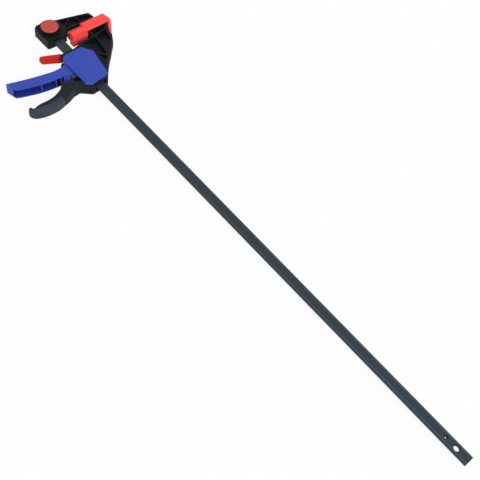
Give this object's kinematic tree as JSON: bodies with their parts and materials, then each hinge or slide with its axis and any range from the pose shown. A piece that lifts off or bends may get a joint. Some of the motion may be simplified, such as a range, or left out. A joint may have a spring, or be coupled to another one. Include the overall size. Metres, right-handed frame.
{
  "type": "quick release bar clamp",
  "caption": "One-handed bar clamp with padded ribbed jaws, a pistol grip with squeeze trigger, a release tab and a push button that frees the fixed jaw from the flat steel bar.",
  "frame": {"origin": "centre of the hang hole in the tail of the bar, on the bar's middle plane", "axes": "+X along the bar from the jaws to the tail, +Y the way the jaws stand out from the bar, +Z square to the bar's wide side, out of the button's side"},
  "size_m": [1.1106, 0.258, 0.0349],
  "materials": {
    "bar_steel": "dark grey oxide, satin",
    "black_plastic": "fine moulded texture",
    "red_rubber": "smooth soft rubber",
    "red_plastic": "satin",
    "blue_plastic": "satin",
    "soft_grip": "matt soft sleeve",
    "steel": "stamped, zinc grey",
    "spring_steel": "bright wire"
  },
  "bodies": {
    "bar_and_fixed_jaw": {"bar": "bar_steel", "fixed_jaw": "black_plastic", "fixed_jaw_pad": "red_rubber", "lock_cap": "black_plastic", "button_spring": "spring_steel"},
    "button": {"release_button": "red_plastic", "lock_pin": "steel"},
    "handle": {"handle_body": "black_plastic", "grip_sleeve": "soft_grip", "moving_jaw_pad": "red_rubber", "cover_left": "blue_plastic", "cover_right": "blue_plastic", "cover_screws": "steel", "trigger_pin": "steel", "drive_spring": "spring_steel", "brake_spring": "spring_steel"},
    "trigger": {"trigger": "blue_plastic"},
    "drive_plates": {"drive_plate_front": "steel", "drive_plate_rear": "steel"},
    "brake": {"brake_lever": "steel", "release_tab": "red_plastic"}
  },
  "joints": [
    {"name": "handle_slide", "type": "slide", "parent": "bar_and_fixed_jaw", "child": "handle", "axis": [1, 0, 0], "range_m": [-0.002, 0.87]},
    {"name": "trigger_pull", "type": "hinge", "parent": "handle", "child": "trigger", "pos_m": [-0.9603, 0.0205, 0], "axis": [0, 0, 1], "range_deg": [0, 8], "stiffness_Nm_per_rad": 3, "springref_deg": -17.19},
    {"name": "drive_stroke", "type": "slide", "parent": "handle", "child": "drive_plates", "axis": [1, 0, 0], "range_m": [0, 0.0078], "deforming": ["drive_spring"]},
    {"name": "brake_release", "type": "hinge", "parent": "handle", "child": "brake", "pos_m": [-0.9893, 0.023, 0], "axis": [0, 0, 1], "range_deg": [0, 7], "stiffness_Nm_per_rad": 0.5, "springref_deg": -11.46, "deforming": ["brake_spring"]},
    {"name": "button_press", "type": "slide", "parent": "bar_and_fixed_jaw", "child": "button", "axis": [0, 0, -1], "range_m": [0, 0.003], "stiffness_N_per_m": 800, "springref_m": -0.004, "deforming": ["button_spring"]}
  ],
  "couplings": [
    {"joint": "drive_stroke", "follows": "trigger_pull", "m_per_rad": 0.0555}
  ]
}
